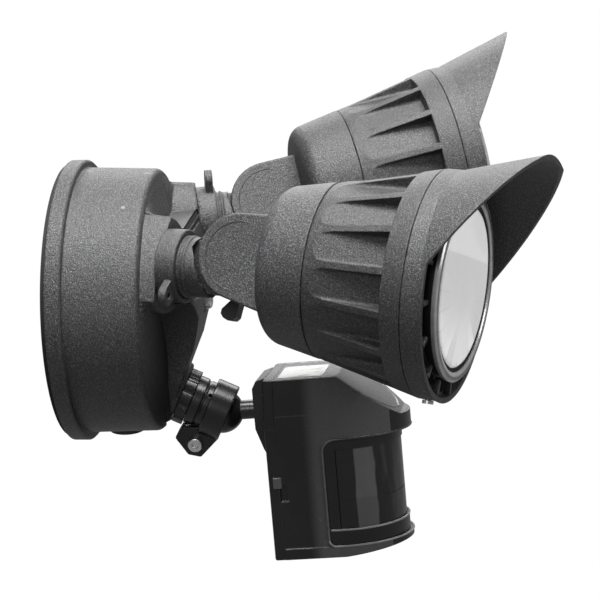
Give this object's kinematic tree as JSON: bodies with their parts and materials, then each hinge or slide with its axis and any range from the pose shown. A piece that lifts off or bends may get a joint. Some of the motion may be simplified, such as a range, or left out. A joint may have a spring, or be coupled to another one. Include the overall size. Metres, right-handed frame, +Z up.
{
  "type": "motion sensor security light",
  "caption": "Round wall canopy carrying two finned round lamp heads with slanted shades on swivel-and-tilt arms, and a motion sensor on a clamped ball joint below.",
  "frame": {"origin": "centre of the mounting plane at the wall, on the canopy's axis", "axes": "+Z up, +Y into the wall, so the light stands out along -Y; +X to the right seen from in front"},
  "size_m": [0.2615, 0.2336, 0.234],
  "materials": {
    "rubber": "black foam and rubber seals",
    "powder_coat": "fine textured charcoal powder coat",
    "strap_steel": "galvanised strap",
    "steel": "plated steel fastener",
    "driver_case": "white potted driver case",
    "wire_nut": "orange wire connector",
    "lens_rim": "bright moulded lens rim",
    "clear_lens": "clear lens",
    "reflector": "metallised reflector",
    "circuit": "white and green circuit board",
    "black_plastic": "matt black moulding",
    "gloss_black": "smooth glossy black moulding",
    "dark_lens": "smoked polyethylene lens, vertical facets inside"
  },
  "bodies": {
    "canopy": {"wall_gasket": "rubber", "canopy_housing": "powder_coat", "mounting_strap": "strap_steel", "centre_screw": "steel", "closure_plug": "powder_coat", "led_driver": "driver_case", "wire_nuts": "wire_nut"},
    "ring_near": {"lock_ring_near": "powder_coat"},
    "arm_near": {"swivel_stem_near": "powder_coat", "stem_seal_near": "rubber"},
    "head_near": {"rear_cap_near": "powder_coat", "heat_sink_near": "powder_coat", "hood_near": "powder_coat", "lens_ring_near": "lens_rim", "lens_gasket_near": "rubber", "front_lens_near": "clear_lens", "reflector_near": "reflector", "led_board_near": "circuit", "bezel_screw_near": "steel", "pivot_bolt_near": "steel"},
    "knob_near": {"wing_knob_near": "black_plastic", "pivot_washer_near": "steel"},
    "ring_far": {"lock_ring_far": "powder_coat"},
    "arm_far": {"swivel_stem_far": "powder_coat", "stem_seal_far": "rubber"},
    "head_far": {"rear_cap_far": "powder_coat", "heat_sink_far": "powder_coat", "hood_far": "powder_coat", "lens_ring_far": "lens_rim", "lens_gasket_far": "rubber", "front_lens_far": "clear_lens", "reflector_far": "reflector", "led_board_far": "circuit", "bezel_screw_far": "steel", "pivot_bolt_far": "steel"},
    "knob_far": {"wing_knob_far": "black_plastic", "pivot_washer_far": "steel"},
    "lock_nut": {"sensor_lock_nut": "gloss_black"},
    "socket": {"sensor_socket": "gloss_black", "clamp_ring": "gloss_black", "clamp_screw": "steel", "clamp_nut": "steel"},
    "ball": {"ball_stem": "gloss_black", "stem_keeper": "steel"},
    "sensor": {"sensor_housing": "gloss_black", "lens_frame": "gloss_black", "fresnel_lens": "dark_lens", "rear_cover": "gloss_black", "sensor_board": "circuit", "motion_detector": "steel"},
    "dial_time": {"dial_time": "black_plastic"},
    "dial_range": {"dial_range": "black_plastic"},
    "dial_light": {"dial_light": "black_plastic"}
  },
  "joints": [
    {"name": "lock_ring_turn_near", "type": "hinge", "parent": "canopy", "child": "ring_near", "pos_m": [-0.0415, -0.0646, 0.0278], "axis": [-0.2402, -0.9707, 0], "range_deg": [-30, 0]},
    {"name": "head_swivel_near", "type": "hinge", "parent": "canopy", "child": "arm_near", "pos_m": [-0.0415, -0.0646, 0.0278], "axis": [-0.2402, -0.9707, 0], "range_deg": [-1, 57]},
    {"name": "head_tilt_near", "type": "hinge", "parent": "arm_near", "child": "head_near", "pos_m": [-0.04775, -0.08984, 0.0278], "axis": [-0.9062, 0.2243, 0.3584], "range_deg": [-11, 25]},
    {"name": "knob_turn_near", "type": "hinge", "parent": "head_near", "child": "knob_near", "pos_m": [-0.04775, -0.08984, 0.0278], "axis": [0.9062, -0.2243, -0.3584], "range_deg": [-30, 8]},
    {"name": "lock_ring_turn_far", "type": "hinge", "parent": "canopy", "child": "ring_far", "pos_m": [0.0415, -0.0646, 0.0278], "axis": [0.2402, -0.9707, 0], "range_deg": [-30, 0]},
    {"name": "head_swivel_far", "type": "hinge", "parent": "canopy", "child": "arm_far", "pos_m": [0.0415, -0.0646, 0.0278], "axis": [0.2402, -0.9707, 0], "range_deg": [-9, 44]},
    {"name": "head_tilt_far", "type": "hinge", "parent": "arm_far", "child": "head_far", "pos_m": [0.04775, -0.08984, 0.0278], "axis": [-0.849, -0.2101, 0.4848], "range_deg": [-22, 13]},
    {"name": "knob_turn_far", "type": "hinge", "parent": "head_far", "child": "knob_far", "pos_m": [0.04775, -0.08984, 0.0278], "axis": [0.849, 0.2101, -0.4848], "range_deg": [-30, 8]},
    {"name": "lock_nut_turn", "type": "hinge", "parent": "canopy", "child": "lock_nut", "pos_m": [0, -0.0504, -0.0478], "axis": [0, -0.91, -0.4147], "range_deg": [-30, 30]},
    {"name": "sensor_socket_turn", "type": "hinge", "parent": "canopy", "child": "socket", "pos_m": [0, -0.0504, -0.0478], "axis": [0, -0.91, -0.4147], "range_deg": [-20, 20]},
    {"name": "sensor_tilt", "type": "hinge", "parent": "socket", "child": "ball", "pos_m": [0, -0.06942, -0.05647], "axis": [-0.9877, 0, 0.1564], "range_deg": [-25, 8]},
    {"name": "sensor_spin", "type": "hinge", "parent": "ball", "child": "sensor", "pos_m": [0, -0.06942, -0.05647], "axis": [0.0098, -0.998, 0.062], "range_deg": [-15, 15]},
    {"name": "dial_turn_time", "type": "hinge", "parent": "sensor", "child": "dial_time", "pos_m": [-0.02371, -0.14153, -0.1167], "axis": [0.1561, 0.0628, 0.9857], "range_deg": [-135, 135]},
    {"name": "dial_turn_range", "type": "hinge", "parent": "sensor", "child": "dial_range", "pos_m": [-0.00989, -0.14153, -0.11889], "axis": [0.1561, 0.0628, 0.9857], "range_deg": [-135, 135]},
    {"name": "dial_turn_light", "type": "hinge", "parent": "sensor", "child": "dial_light", "pos_m": [0.00394, -0.14153, -0.12108], "axis": [0.1561, 0.0628, 0.9857], "range_deg": [-135, 135]}
  ]
}
